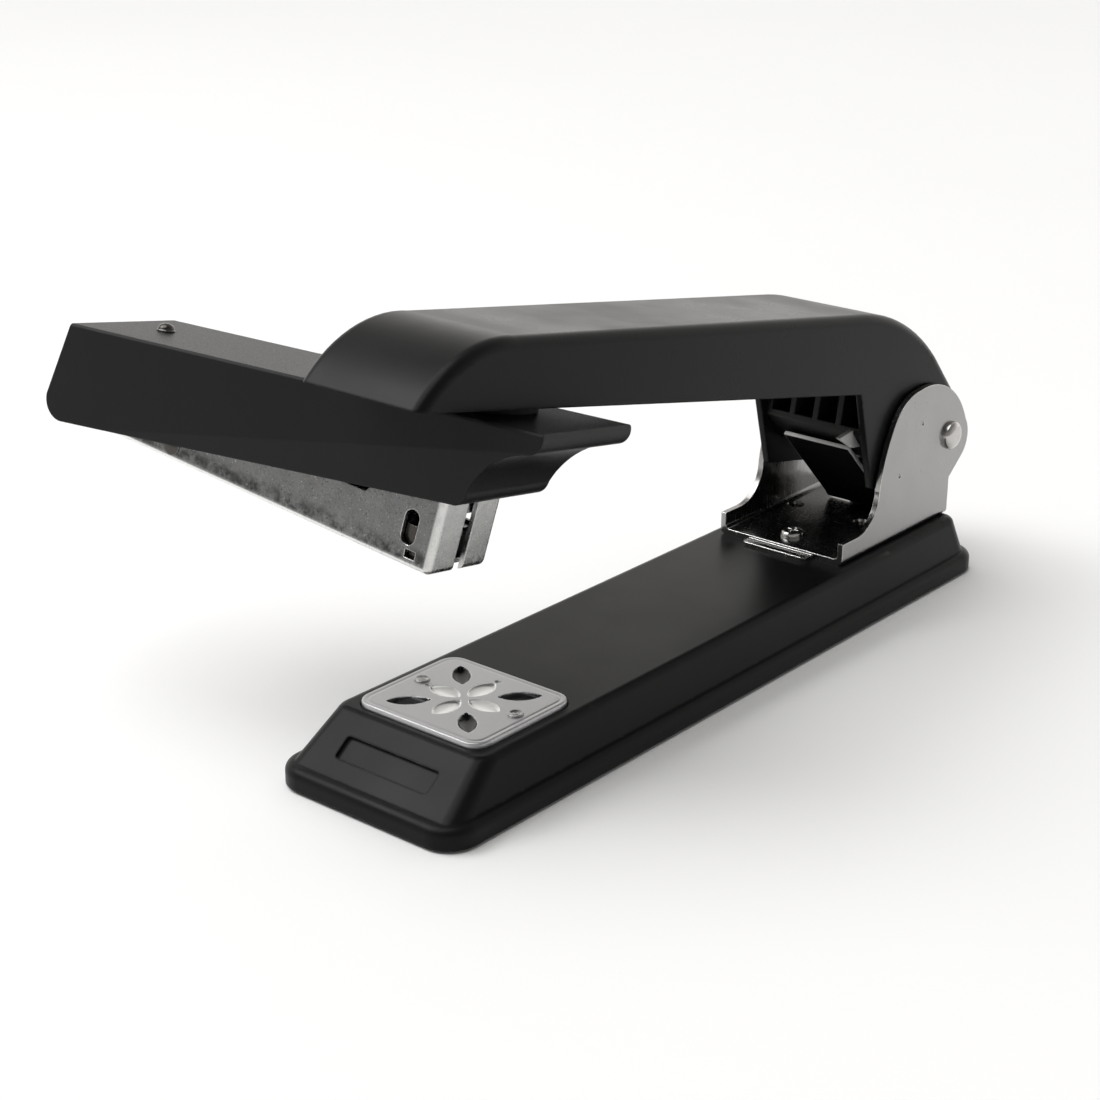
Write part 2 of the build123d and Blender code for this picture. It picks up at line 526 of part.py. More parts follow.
# ---------------------------------------------------------------- magazine
HOOK_RADIUS = 3.2
with BuildPart() as magazine_housing:
    with BuildSketch(side(magazine_frame)):
        with BuildLine():
            Polyline((-HOOK_RADIUS, 0), (4.5, MAG_BOTTOM), (NOSE_FRONT, MAG_BOTTOM), (NOSE_FRONT, NOSE_TOP),
                     (65.2, NOSE_TOP), (61.6, MAG_WALL_TOP), (8.0, MAG_WALL_TOP), (HOOK_RADIUS, 2.4), (0, HOOK_RADIUS))
            RadiusArc((0, HOOK_RADIUS), (-HOOK_RADIUS, 0), -HOOK_RADIUS)
        make_face()
    extrude(amount=MAG_HALF, both=True)
    keel = [e for e in edges() if abs(local(magazine_frame, e).Z - MAG_BOTTOM) < 1e-3 and e.length > 40]
    fillet(keel, 1.3)
    upright = [e for e in edges() if abs(local(magazine_frame, e).X - NOSE_FRONT) < 1e-3]
    fillet([e for e in upright if abs(abs(local(magazine_frame, e).Y) - MAG_HALF) < 1e-3], 1.1)
    hollow = MAG_HALF - MAG_WALL
    with BuildSketch(side(magazine_frame)):
        Polygon((-10, MAG_BOTTOM + MAG_WALL), (NOSE_FRONT - MAG_WALL, MAG_BOTTOM + MAG_WALL),
                (NOSE_FRONT - MAG_WALL, 20), (-10, 20), align=None)
    extrude(amount=hollow, both=True, mode=Mode.SUBTRACT)
    with BuildSketch(cross(magazine_frame, NOSE_FRONT + 1)):
        with Locations((0, (MAG_BOTTOM + NOSE_TOP) / 2)):
            Rectangle(3.0, NOSE_TOP - MAG_BOTTOM + 2)
    extrude(amount=-2.6, mode=Mode.SUBTRACT)
    with BuildSketch(flat(magazine_frame, MAG_BOTTOM)):
        with Locations((RAIL_FRONT - 0.4 + (NOSE_FRONT - MAG_WALL - RAIL_FRONT + 0.4) / 2, 0)):
            Rectangle(NOSE_FRONT - MAG_WALL - RAIL_FRONT + 0.4, 2 * STAPLE_HALF + 0.3)
    extrude(amount=MAG_WALL, mode=Mode.SUBTRACT)
    with BuildSketch(side(magazine_frame)):
        with Locations((72.0, -1.2)):
            SlotOverall(6.2, 3.0, rotation=90)
        with Locations((73.2, -5.7)):
            Rectangle(2.2, 1.4)
    extrude(amount=MAG_HALF + 1, both=True, mode=Mode.SUBTRACT)
    bore(side(magazine_frame), HINGE_RADIUS + 0.06, 20, both=True)
    bore(side(magazine_frame * Location((18.9, 0, -5.2))), 1.2 + SNUG, 20, both=True)
save(magazine_housing, "magazine_housing")

with BuildPart() as staple_rail:
    with BuildSketch(cross(magazine_frame, RAIL_REAR)):
        rail_foot = MAG_BOTTOM + MAG_WALL
        with Locations((0, (RAIL_TOP + rail_foot) / 2)):
            Rectangle(2 * RAIL_HALF, RAIL_TOP - rail_foot)
        with Locations((0, (RAIL_TOP - RAIL_SHEET + rail_foot) / 2)):
            Rectangle(2 * (RAIL_HALF - RAIL_SHEET), RAIL_TOP - RAIL_SHEET - rail_foot, mode=Mode.SUBTRACT)
    extrude(amount=RAIL_FRONT - RAIL_REAR)
    with BuildSketch(flat(magazine_frame, RAIL_TOP)):
        with Locations((40.0, 0)):
            SlotOverall(60.0, 3.4)
    extrude(amount=-RAIL_SHEET, mode=Mode.SUBTRACT)
    bore(side(magazine_frame * Location((18.9, 0, -5.2))), 1.2 + SNUG, 20, both=True)
save(staple_rail, "staple_rail")

with BuildPart() as rail_rivets:
    for s in (-1, 1):
        wall_face = Plane(origin=(18.9, s * MAG_HALF, -5.2), x_dir=(1, 0, 0), z_dir=(0, s, 0))
        wall = Plane(magazine_frame * wall_face.location)
        disc(wall, 1.9, 0.6, 0.4)
        disc(wall, 1.2, -(MAG_HALF - RAIL_HALF + RAIL_SHEET))
save(rail_rivets, "rail_rivets")

with BuildPart() as staple_guides:
    for s in (-1, 1):
        with BuildSketch(cross(magazine_frame, GUIDE_REAR)):
            with Locations((s * (GUIDE_HALF - GUIDE_SHEET / 2), (GUIDE_TOP + rail_foot) / 2)):
                Rectangle(GUIDE_SHEET, GUIDE_TOP - rail_foot)
        extrude(amount=RAIL_FRONT - GUIDE_REAR)
save(staple_guides, "staple_guides")

END_FRONT = RAIL_REAR + 3.0
with BuildPart() as rail_end_block:
    with BuildSketch(cross(magazine_frame, RAIL_REAR)):
        with Locations((0, (RAIL_TOP - RAIL_SHEET + rail_foot) / 2)):
            Rectangle(2 * (RAIL_HALF - RAIL_SHEET) - 0.1, RAIL_TOP - RAIL_SHEET - rail_foot - 0.1)
    extrude(amount=END_FRONT - RAIL_REAR)
    bore(cross(magazine_frame * Location((0, 0, ROD_HEIGHT)), RAIL_REAR), ROD_RADIUS + SNUG, 10)
save(rail_end_block, "rail_end_block")

with BuildPart() as guide_rod:
    disc(cross(magazine_frame * Location((0, 0, ROD_HEIGHT)), RAIL_REAR), ROD_RADIUS, 69.0, 0.4)
save(guide_rod, "guide_rod")

STRIP_FRONT = RAIL_FRONT - 0.3
LEG_INSIDE = RAIL_HALF + 0.12
with BuildPart() as staple_strip:
    crown_top = RAIL_TOP + 0.1 + STAPLE_WIRE
    with BuildSketch(cross(magazine_frame, STRIP_FRONT)):
        with Locations((0, (crown_top + rail_foot + 0.12) / 2)):
            Rectangle(2 * STAPLE_HALF, crown_top - rail_foot - 0.12)
        with Locations((0, (RAIL_TOP + 0.1 + rail_foot) / 2)):
            Rectangle(2 * LEG_INSIDE, RAIL_TOP + 0.1 - rail_foot, mode=Mode.SUBTRACT)
    extrude(amount=-STRIP_LENGTH)
save(staple_strip, "staple_strip")

PUSHER_FRONT = STRIP_FRONT - STRIP_LENGTH - 0.1
PUSHER_LENGTH = 6.5
with BuildPart() as pusher:
    with BuildSketch(cross(magazine_frame, PUSHER_FRONT)):
        with Locations((0, -3.95)):
            Rectangle(2 * STAPLE_HALF, 6.2)
        with Locations((0, (RAIL_TOP + 0.12 - 7.3) / 2)):
            Rectangle(2 * LEG_INSIDE, RAIL_TOP + 0.12 + 7.3, mode=Mode.SUBTRACT)
        with Locations((0, -2.6)):
            Rectangle(2.8, 2.0)
        with Locations((0, -5.0)):
            Rectangle(2 * (RAIL_HALF - RAIL_SHEET) - 0.5, 3.8)
    extrude(amount=-PUSHER_LENGTH)
    bore(cross(magazine_frame * Location((0, 0, ROD_HEIGHT)), PUSHER_FRONT), ROD_RADIUS + RUNNING, -20)
save(pusher, "pusher")

COIL_RADIUS, COIL_WIRE = 1.35, 0.2
COIL_LENGTH = PUSHER_FRONT - PUSHER_LENGTH - END_FRONT - 0.6
with BuildPart() as pusher_spring:
    coil_start = cross(magazine_frame * Location((0, 0, ROD_HEIGHT)), END_FRONT + 0.3)
    with BuildLine() as coil:
        Helix(pitch=COIL_LENGTH / 16, height=COIL_LENGTH, radius=COIL_RADIUS, mode=Mode.PRIVATE)
        add(coil_start.location * Helix(pitch=COIL_LENGTH / 16, height=COIL_LENGTH, radius=COIL_RADIUS,
                                        mode=Mode.PRIVATE))
    with BuildSketch(Plane(origin=coil.line @ 0, z_dir=coil.line % 0)):
        Circle(COIL_WIRE)
    sweep(path=coil.line, is_frenet=True)
save(pusher_spring, "pusher_spring")
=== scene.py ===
"""Looks of the long reach stapler: materials, detailed pieces, light and camera.

Detailed pieces are drawn in millimetres in the frame of the body they belong to, and placed by
that frame's matrix. Materials read object coordinates, which are the row frame in metres.
"""
import json
import math
import random

import bpy
from mathutils import Matrix, Vector


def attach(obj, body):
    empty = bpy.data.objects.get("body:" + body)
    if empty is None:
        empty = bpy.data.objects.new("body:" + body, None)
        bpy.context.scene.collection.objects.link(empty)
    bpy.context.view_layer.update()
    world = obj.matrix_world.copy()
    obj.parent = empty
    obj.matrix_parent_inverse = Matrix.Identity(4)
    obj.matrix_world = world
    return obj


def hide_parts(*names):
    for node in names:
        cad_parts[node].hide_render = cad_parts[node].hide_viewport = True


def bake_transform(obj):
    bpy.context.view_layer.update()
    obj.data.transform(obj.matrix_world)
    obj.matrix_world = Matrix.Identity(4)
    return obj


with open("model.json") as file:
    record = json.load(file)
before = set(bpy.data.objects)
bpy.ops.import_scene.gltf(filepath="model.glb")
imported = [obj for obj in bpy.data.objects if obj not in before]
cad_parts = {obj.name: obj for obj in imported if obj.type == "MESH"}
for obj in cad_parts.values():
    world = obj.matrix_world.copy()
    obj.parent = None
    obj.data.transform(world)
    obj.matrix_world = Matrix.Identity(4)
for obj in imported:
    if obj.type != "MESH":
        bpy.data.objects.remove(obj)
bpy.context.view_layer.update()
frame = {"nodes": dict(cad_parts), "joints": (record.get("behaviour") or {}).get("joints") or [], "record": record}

MM = 0.001


# ------------------------------------------------------------------ frames of the bodies
def joint(name):
    """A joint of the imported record."""
    return next(j for j in frame["joints"] if j["name"] == name)


def placed(origin, x, y):
    """Matrix from a body's own millimetres to the row frame in metres."""
    turn = Matrix((x, y, x.cross(y))).transposed().to_4x4()
    return Matrix.Translation(origin) @ turn @ Matrix.Scale(MM, 4)


ARM_UP = Vector(joint("head_swivel")["axis"])
HEAD_SIDE = Vector(joint("magazine_hinge")["axis"])
MAGAZINE_FORWARD = Vector(joint("pusher_slide")["axis"])
MAGAZINE_UP = MAGAZINE_FORWARD.cross(HEAD_SIDE)
HINGE = Vector(joint("magazine_hinge")["pos_m"])

BASE = Matrix.Scale(MM, 4)
HEAD = placed(joint("head_swivel")["pos_m"], HEAD_SIDE.cross(ARM_UP), HEAD_SIDE)
MAGAZINE = placed(HINGE, MAGAZINE_FORWARD, HEAD_SIDE)


def local_box(node, place):
    """Lowest and highest corner of a CAD node in a body's own millimetres."""
    inverse = place.inverted()
    corners = [inverse @ v.co for v in frame["nodes"][node].data.vertices]
    low = Vector(min(c[i] for c in corners) for i in range(3))
    high = Vector(max(c[i] for c in corners) for i in range(3))
    return low, high


# ------------------------------------------------------------------ mesh building
def lathe(profile, segments=48):
    """Turned shape about local z from (radius, height) points; a radius of 0 closes an end."""
    vertices, faces, rows = [], [], []
    for radius, height in profile:
        if radius == 0:
            rows.append([len(vertices)])
            vertices.append((0, 0, height))
            continue
        rows.append(list(range(len(vertices), len(vertices) + segments)))
        for i in range(segments):
            angle = 2 * math.pi * i / segments
            vertices.append((radius * math.cos(angle), radius * math.sin(angle), height))
    for low, high in zip(rows, rows[1:]):
        for i in range(segments):
            j = (i + 1) % segments
            if len(low) == 1:
                faces.append((low[0], high[j], high[i]))
            elif len(high) == 1:
                faces.append((low[i], low[j], high[0]))
            else:
                faces.append((low[i], low[j], high[j], high[i]))
    return vertices, faces


def arc(centre, radius, start, end, steps):
    """Points of an arc in a plane, angles in degrees."""
    angles = [math.radians(start + (end - start) * i / steps) for i in range(steps + 1)]
    return [(centre[0] + radius * math.cos(a), centre[1] + radius * math.sin(a)) for a in angles]


def dome(radius, foot, height, steps=9):
    """Profile of a dome for the lathe, from its rim to its closed top."""
    turns = [math.pi / 2 * i / steps for i in range(steps)]
    return [(radius * math.cos(a), foot + height * math.sin(a)) for a in turns] + [(0, foot + height)]


def rounded_section(width, height, radius, steps=4):
    """Outline of a rounded rectangle, anticlockwise."""
    w, h = width / 2 - radius, height / 2 - radius
    outline = []
    for x, y, start in ((w, h, 0), (-w, h, 90), (-w, -h, 180), (w, -h, 270)):
        outline += arc((x, y), radius, start, start + 90, steps)
    return outline


def sweep(path, section, up, widths=None):
    """Solid of a section carried along a path; section x runs along up, y square to it."""
    path = [Vector(p) for p in path]
    up = Vector(up).normalized()
    vertices, faces = [], []
    count = len(section)
    for i, point in enumerate(path):
        along = (path[min(i + 1, len(path) - 1)] - path[max(i - 1, 0)]).normalized()
        across = along.cross(up).normalized()
        scale = widths[i] if widths else 1.0
        vertices += [point + up * (x * scale) + across * y for x, y in section]
    for i in range(len(path) - 1):
        for k in range(count):
            m = (k + 1) % count
            faces.append((i * count + k, i * count + m, (i + 1) * count + m, (i + 1) * count + k))
    faces.append(tuple(range(count - 1, -1, -1)))
    faces.append(tuple(range((len(path) - 1) * count, len(path) * count)))
    return vertices, faces


def merged(parts):
    """Several (vertices, faces) shapes as one."""
    vertices, faces = [], []
    for part_vertices, part_faces in parts:
        offset = len(vertices)
        vertices += part_vertices
        faces += [tuple(i + offset for i in face) for face in part_faces]
    return vertices, faces


def moved(shape, matrix):
    """A shape carried by a matrix in the same units."""
    vertices, faces = shape
    return [matrix @ Vector(v) for v in vertices], faces


def piece(name, shape, place, finish, node, sharp=35):
    """Mesh object in the row frame that stands for a CAD node, not yet riding on a body."""
    vertices, faces = shape
    mesh = bpy.data.meshes.new(name)
    mesh.from_pydata([place @ Vector(v) for v in vertices], [], faces)
    mesh.validate()
    obj = bpy.data.objects.new(name, mesh)
    bpy.context.scene.collection.objects.link(obj)
    mesh.materials.append(finish)
    for polygon in mesh.polygons:
        polygon.use_smooth = True
    mesh.set_sharp_from_angle(angle=math.radians(sharp))
    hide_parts(node)
    return obj


# ------------------------------------------------------------------ material building
class Finish:
    """A procedural material on object coordinates, with its Principled shader."""

    def __init__(self, name, metallic=0.0, specular=0.5):
        self.material = bpy.data.materials.new(name)
        self.material.use_nodes = True
        self.nodes = self.material.node_tree.nodes
        self.links = self.material.node_tree.links
        self.shader = self.nodes["Principled BSDF"]
        self.shader.inputs["Metallic"].default_value = metallic
        self.shader.inputs["Specular IOR Level"].default_value = specular
        self.coordinates = self.nodes.new("ShaderNodeTexCoord").outputs["Object"]
        self.height = None

    def scaled(self, stretch):
        """Object coordinates stretched per axis, for grain and scratches."""
        mapping = self.nodes.new("ShaderNodeMapping")
        mapping.inputs["Scale"].default_value = stretch
        self.links.new(self.coordinates, mapping.inputs["Vector"])
        return mapping.outputs["Vector"]

    def noise(self, per_metre, detail=3.0, roughness=0.5, stretch=None):
        """Fractal noise with so many features a metre."""
        texture = self.nodes.new("ShaderNodeTexNoise")
        texture.inputs["Scale"].default_value = per_metre
        texture.inputs["Detail"].default_value = detail
        texture.inputs["Roughness"].default_value = roughness
        vector = self.scaled(stretch) if stretch else self.coordinates
        self.links.new(vector, texture.inputs["Vector"])
        return texture.outputs["Fac"]

    def ranged(self, value, low, high, to_low=0.0, to_high=1.0):
        """A value carried smoothly from one range to another."""
        node = self.nodes.new("ShaderNodeMapRange")
        node.interpolation_type = "SMOOTHSTEP"
        node.inputs["From Min"].default_value = low
        node.inputs["From Max"].default_value = high
        node.inputs["To Min"].default_value = to_low
        node.inputs["To Max"].default_value = to_high
        self.links.new(value, node.inputs["Value"])
        return node.outputs["Result"]

    def math(self, operation, a, b):
        """Arithmetic on two values, either of which may be a number."""
        node = self.nodes.new("ShaderNodeMath")
        node.operation = operation
        for socket, value in zip(node.inputs, (a, b)):
            if isinstance(value, (int, float)):
                socket.default_value = value
            else:
                self.links.new(value, socket)
        return node.outputs["Value"]

    def mixed(self, share, a, b):
        """Colour between two colours."""
        node = self.nodes.new("ShaderNodeMix")
        node.data_type = "RGBA"
        self.links.new(share, node.inputs["Factor"])
        for socket, value in ((node.inputs[6], a), (node.inputs[7], b)):
            if isinstance(value, tuple):
                socket.default_value = (*value, 1)
            else:
                self.links.new(value, socket)
        return node.outputs[2]

    def edges(self, radius):
        """1 on convex and concave edges, 0 on flats, from the rounded normal."""
        bevel = self.nodes.new("ShaderNodeBevel")
        bevel.samples = 4
        bevel.inputs["Radius"].default_value = radius
        geometry = self.nodes.new("ShaderNodeNewGeometry")
        dot = self.nodes.new("ShaderNodeVectorMath")
        dot.operation = "DOT_PRODUCT"
        self.links.new(bevel.outputs["Normal"], dot.inputs[0])
        self.links.new(geometry.outputs["Normal"], dot.inputs[1])
        return self.ranged(dot.outputs["Value"], 0.995, 0.85)

    def along(self, direction, origin):
        """Millimetres from an origin along a direction, both given in the row frame."""
        dot = self.nodes.new("ShaderNodeVectorMath")
        dot.operation = "DOT_PRODUCT"
        dot.inputs[1].default_value = direction / MM
        self.links.new(self.coordinates, dot.inputs[0])
        return self.math("SUBTRACT", dot.outputs["Value"], origin.dot(direction) / MM)

    def scratches(self, per_metre, threshold=0.68):
        """Fine crossing hairlines."""
        lines = None
        for stretch in ((1, 0.04, 0.04), (0.04, 1, 0.04), (0.5, 0.5, 0.03)):
            strand = self.ranged(self.noise(per_metre, 2, stretch=stretch), threshold, threshold + 0.05)
            lines = strand if lines is None else self.math("MAXIMUM", lines, strand)
        return lines

    def relief(self, layers, rounding=0.0):
        """Bump from (height value, depth in metres) layers, over softly rounded edges."""
        normal = None
        if rounding:
            bevel = self.nodes.new("ShaderNodeBevel")
            bevel.samples = 4
            bevel.inputs["Radius"].default_value = rounding
            normal = bevel.outputs["Normal"]
        for height, depth in layers:
            bump = self.nodes.new("ShaderNodeBump")
            bump.inputs["Distance"].default_value = depth
            bump.inputs["Strength"].default_value = 1.0
            self.links.new(height, bump.inputs["Height"])
            if normal is not None:
                self.links.new(normal, bump.inputs["Normal"])
            normal = bump.outputs["Normal"]
        self.links.new(normal, self.shader.inputs["Normal"])

    def color(self, value):
        self.links.new(value, self.shader.inputs["Base Color"])

    def roughness(self, value):
        self.links.new(value, self.shader.inputs["Roughness"])


def toned(shade, factor):
    """A darker or lighter version of a shade."""
    return tuple(min(1, c * factor) for c in shade)


def enamel(name, shade, gloss):
    """Satin black stove enamel: slight orange peel, handling marks, thin worn edges."""
    f = Finish(name, specular=0.12)
    wear = f.math("MULTIPLY", f.edges(0.0005), f.ranged(f.noise(420, 4, 0.7), 0.5, 0.72))
    smudge = f.noise(38, 3)
    paint = f.mixed(smudge, toned(shade, 0.8), toned(shade, 1.25))
    f.color(f.mixed(f.math("MULTIPLY", wear, 0.5), paint, (0.09, 0.088, 0.085)))
    marks = f.scratches(5200, 0.7)
    rough = f.math("ADD", f.ranged(smudge, 0.3, 0.7, gloss - 0.04, gloss + 0.05),
                   f.math("MULTIPLY", marks, 0.07))
    f.roughness(rough)
    f.relief([(f.noise(950, 2), 0.000006), (marks, -0.000004)], rounding=0.0006)
    return f.material


def moulded(name, shade, gloss, grain_per_metre, grain_depth, specular=0.4):
    """Moulded plastic with a fine spark-eroded grain and rubbed edges."""
    f = Finish(name, specular=specular)
    cloud = f.noise(60, 4)
    rub = f.math("MULTIPLY", f.edges(0.0004), f.ranged(f.noise(300, 3), 0.42, 0.65))
    body = f.mixed(cloud, toned(shade, 0.8), toned(shade, 1.25))
    f.color(f.mixed(f.math("MULTIPLY", rub, 0.35), body, toned(shade, 3.2)))
    grain = f.noise(grain_per_metre, 5, 0.65)
    f.roughness(f.math("ADD", f.ranged(grain, 0.3, 0.7, gloss - 0.05, gloss + 0.06),
                       f.math("MULTIPLY", f.scratches(4800, 0.7), -0.06)))
    f.relief([(grain, grain_depth), (f.noise(240, 2), grain_depth)], rounding=0.0005)
    return f.material


def plated(name, shade, gloss, brushed=None, smudges=0.06, rim=0.5):
    """Plated steel: faint brushing, smudges, hairlines, a clouded tone and bright worn edges."""
    f = Finish(name, metallic=1.0)
    cloud = f.noise(90, 4)
    tone = f.mixed(cloud, toned(shade, 0.8), shade)
    worn = f.math("MULTIPLY", f.edges(0.00025), rim)
    tone = f.mixed(worn, tone, (0.95, 0.945, 0.93))
    f.color(tone)
    marks = f.scratches(6500, 0.68)
    rough = f.ranged(cloud, 0.3, 0.7, max(0.05, gloss - smudges), gloss + smudges)
    rough = f.math("ADD", rough, f.math("MULTIPLY", marks, 0.12))
    layers = [(marks, -0.000003), (f.noise(260, 3), 0.000012)]
    if brushed:
        lines = f.noise(2600, 2, stretch=brushed)
        rough = f.math("ADD", rough, f.ranged(lines, 0.3, 0.7, -0.04, 0.05))
        layers.append((lines, 0.000004))
    f.roughness(rough)
    f.relief(layers, rounding=0.0002)
    return f.material


def mottled_zinc(name, shade, lip_shade, gloss):
    """Zinc on the magazine: speckled walls, a darker uneven band above a painted highlight along the bottom
    rounding, clean nose lips.
    """
    f = Finish(name, metallic=1.0)
    forward, height = f.along(MAGAZINE_FORWARD, HINGE), f.along(MAGAZINE_UP, HINGE)
    low, high = local_box("magazine_housing", MAGAZINE)
    nose, foot = high.x, low.z
    lip = f.ranged(forward, nose - 1.5, nose - 1.0)
    # Painted highlight: a bright band along the bottom rounding of the magazine.
    keel_highlight = f.ranged(height, foot + 1.1, foot + 0.7)
    uneven = f.ranged(f.noise(420, 4, 0.65), 0.35, 0.65)
    above, below = f.ranged(height, foot + 1.0, foot + 1.5), f.ranged(height, foot + 4.6, foot + 2.2)
    band = f.math("MULTIPLY", above, below)
    tone = f.mixed(f.noise(300, 4), toned(shade, 0.75), toned(shade, 1.2))
    speck = f.ranged(f.noise(2300, 4, 0.75), 0.56, 0.66)
    glint = f.ranged(f.noise(2900, 3, 0.7, stretch=(1, 1, 1.3)), 0.63, 0.7)
    tone = f.mixed(f.math("MULTIPLY", speck, 0.75), tone, toned(shade, 0.3))
    tone = f.mixed(f.math("MULTIPLY", glint, 0.6), tone, (0.9, 0.9, 0.89))
    # A darker, uneven band a little above the bottom of the magazine.
    dark_band = f.math("MULTIPLY", band, f.math("MULTIPLY", uneven, 0.85))
    tone = f.mixed(dark_band, tone, toned(shade, 0.14))
    # The painted highlight along the bottom rounding, together with the bright worn edges.
    bright = f.math("MAXIMUM", keel_highlight, f.math("MULTIPLY", f.edges(0.0003), 0.9))
    tone = f.mixed(f.math("MULTIPLY", bright, 0.85), tone, (0.93, 0.93, 0.92))
    f.color(f.mixed(lip, tone, lip_shade))
    rough = f.math("ADD", f.ranged(uneven, 0.0, 1.0, gloss - 0.05, gloss + 0.07),
                   f.math("MULTIPLY", speck, 0.2))
    f.roughness(f.math("ADD", rough, f.math("MULTIPLY", f.scratches(6500), 0.1)))
    calm = f.math("SUBTRACT", 1.0, lip)
    f.relief([(f.math("MULTIPLY", speck, calm), -0.00002), (f.noise(260, 3), 0.000012)], rounding=0.0003)
    return f.material


def rubber(name):
    """Dull rubber with a dusty bloom."""
    f = Finish(name, specular=0.3)
    bloom = f.noise(130, 5, 0.6)
    f.color(f.mixed(f.ranged(bloom, 0.45, 0.75), (0.018, 0.018, 0.018), (0.05, 0.049, 0.047)))
    f.roughness(f.ranged(bloom, 0.3, 0.7, 0.72, 0.88))
    f.relief([(f.noise(2400, 4), 0.00002)])
    return f.material


FINISHES = {
    "base_paint": enamel("satin_enamel_base", (0.0048, 0.0047, 0.0048), 0.33),
    "arm_paint": enamel("satin_enamel_arm", (0.005, 0.0049, 0.0051), 0.3),
    "head_plastic": moulded("grained_plastic_head", (0.0075, 0.0074, 0.0076), 0.4, 2600, 0.000012, 0.17),
    "block_plastic": moulded("moulded_plastic_block", (0.0075, 0.0072, 0.007), 0.42, 3800, 0.000006, 0.25),
    "nylon": moulded("black_nylon", (0.008, 0.008, 0.008), 0.5, 3000, 0.000005, 0.2),
    "rubber": rubber("sole_rubber"),
    "bracket_plate": plated("bright_nickel", (0.37, 0.365, 0.36), 0.2, (1, 1, 0.05), smudges=0.04, rim=0.9),
    "screw_plate": plated("bright_zinc", (0.72, 0.71, 0.7), 0.2),
    "pin_plate": plated("polished_steel", (0.6, 0.585, 0.57), 0.12, smudges=0.03),
    "plain_steel": plated("plain_zinc_steel", (0.4, 0.4, 0.41), 0.36),
    "rivet_steel": plated("rivet_steel", (0.42, 0.42, 0.42), 0.24),
    "spring_steel": plated("spring_steel", (0.4, 0.4, 0.42), 0.25),
    "blade_steel": plated("ground_blade_steel", (0.5, 0.5, 0.52), 0.22, brushed=(1, 0.05, 0.05)),
    "rail_steel": plated("rail_zinc", (0.45, 0.45, 0.46), 0.3),
    "staple_wire": plated("galvanised_wire", (0.55, 0.55, 0.56), 0.22, rim=0.0),
    "magazine_zinc": mottled_zinc("mottled_zinc", (0.2, 0.2, 0.2), (0.62, 0.62, 0.61), 0.24),
    "anvil_nickel": plated("satin_nickel_anvil", (0.54, 0.54, 0.55), 0.36, smudges=0.03, rim=0.9),
    "black_spring": plated("black_oxide", (0.035, 0.034, 0.034), 0.34, rim=0.2),
}
PETAL = plated("polished_petal", (0.95, 0.95, 0.94), 0.32, smudges=0.04)
# Painted shade: the deep clinching cavities get a near-black finish for the shade that falls inside them.
CAVITY_SHADE = plated("cavity_painted_shade", (0.05, 0.05, 0.05), 0.3, rim=0.1)
# Pale finish that paints a highlight: the whole leaf clip stands for a bright highlight seen in shade there, and
# on the return leaf the sheared edges are partly bare steel and partly a painted highlight.
SHEARED_EDGE_AND_HIGHLIGHT = moulded("sheared_edge_and_highlight", (0.6, 0.6, 0.59), 0.4, 3000, 0.000004, 0.5)
DARK_RIVET = plated("dark_rivet", (0.08, 0.075, 0.07), 0.2, rim=0.3)
OWN_FINISH = {"bracket_rivets": DARK_RIVET, "leaf_clip": SHEARED_EDGE_AND_HIGHLIGHT, "staple_guides": DARK_RIVET}


def finish_nodes():
    """Give every CAD node its own finish, or the one of its slot."""
    for subpart in frame["record"]["subparts"]:
        name = subpart["node"]
        materials = frame["nodes"][name].data.materials
        materials.clear()
        materials.append(OWN_FINISH.get(name, FINISHES[subpart["material_slot"]]))


